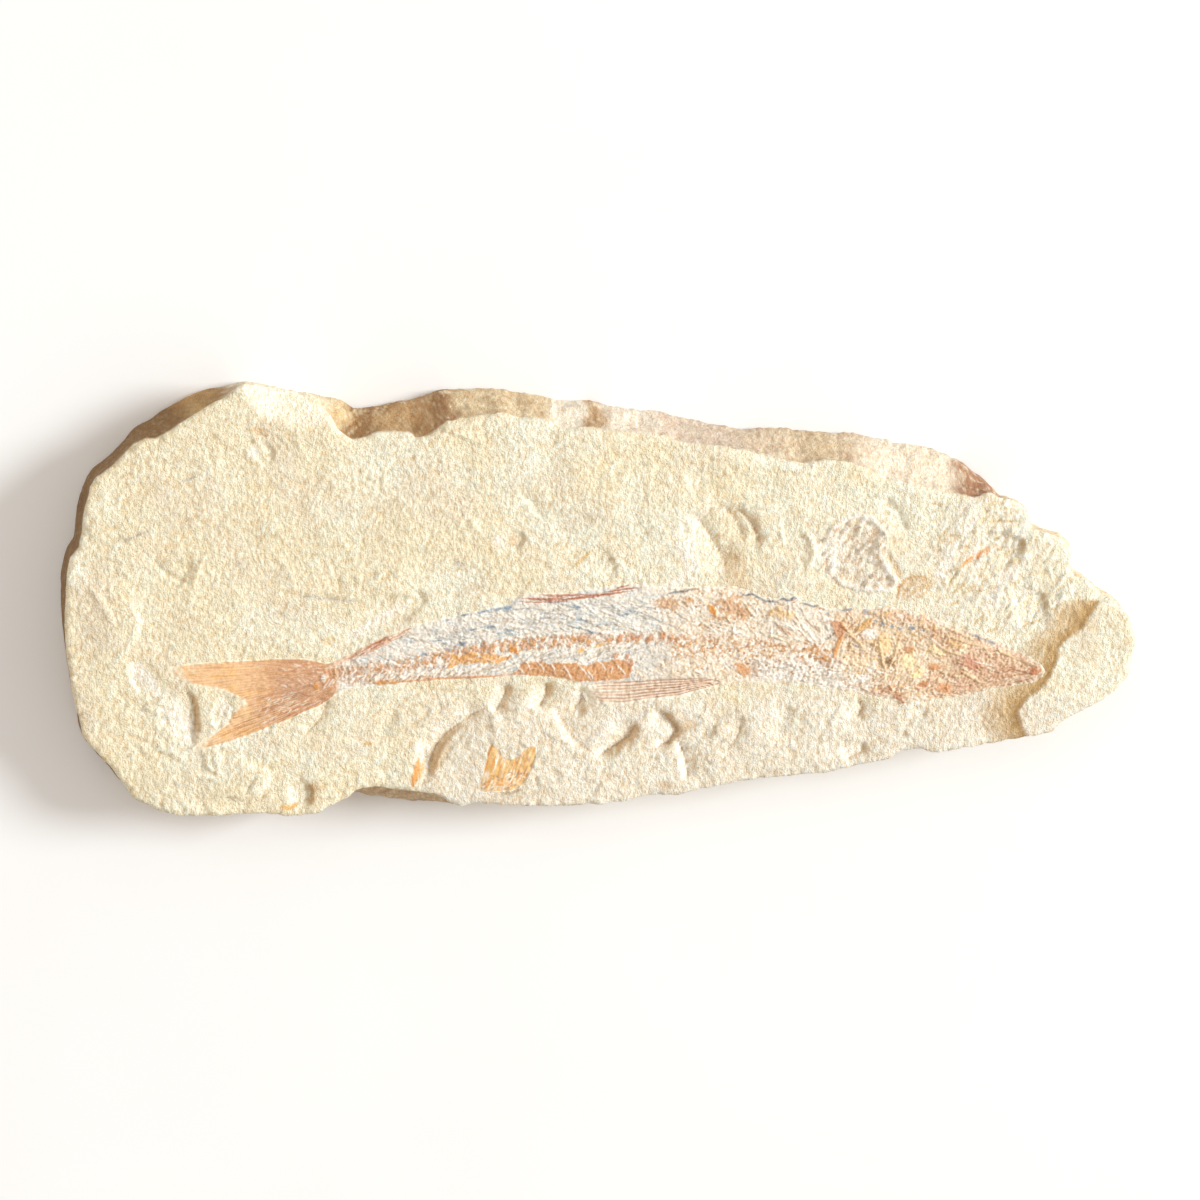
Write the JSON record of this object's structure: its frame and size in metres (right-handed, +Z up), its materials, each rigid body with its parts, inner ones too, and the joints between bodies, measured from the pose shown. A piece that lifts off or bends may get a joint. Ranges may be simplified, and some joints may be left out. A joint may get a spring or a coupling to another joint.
{
  "type": "fossil fish slab",
  "caption": "Broken plate of pale limestone with a long slender fossil fish in low relief across its face and a scrap of bone near one edge.",
  "frame": {"origin": "bottom centre of the bounding box, on the flat underside", "axes": "+X from the tail towards the head, +Y towards the upper edge of the plate, +Z up out of the face that shows the fossil"},
  "size_m": [0.3015, 0.1216, 0.0246],
  "materials": {
    "limestone": "dry matt pale cream limestone, grainy, stained brown on the broken upper edge",
    "fossil_bone": "mineralised bone, tan to orange-brown with whitish and blue-grey patches, faintly satin",
    "scrap_bone": "mineralised bone, honey orange, faintly satin"
  },
  "bodies": {
    "root": {"limestone_slab": "limestone", "fossil_fish": "fossil_bone", "bone_fragment": "scrap_bone"}
  },
  "joints": []
}
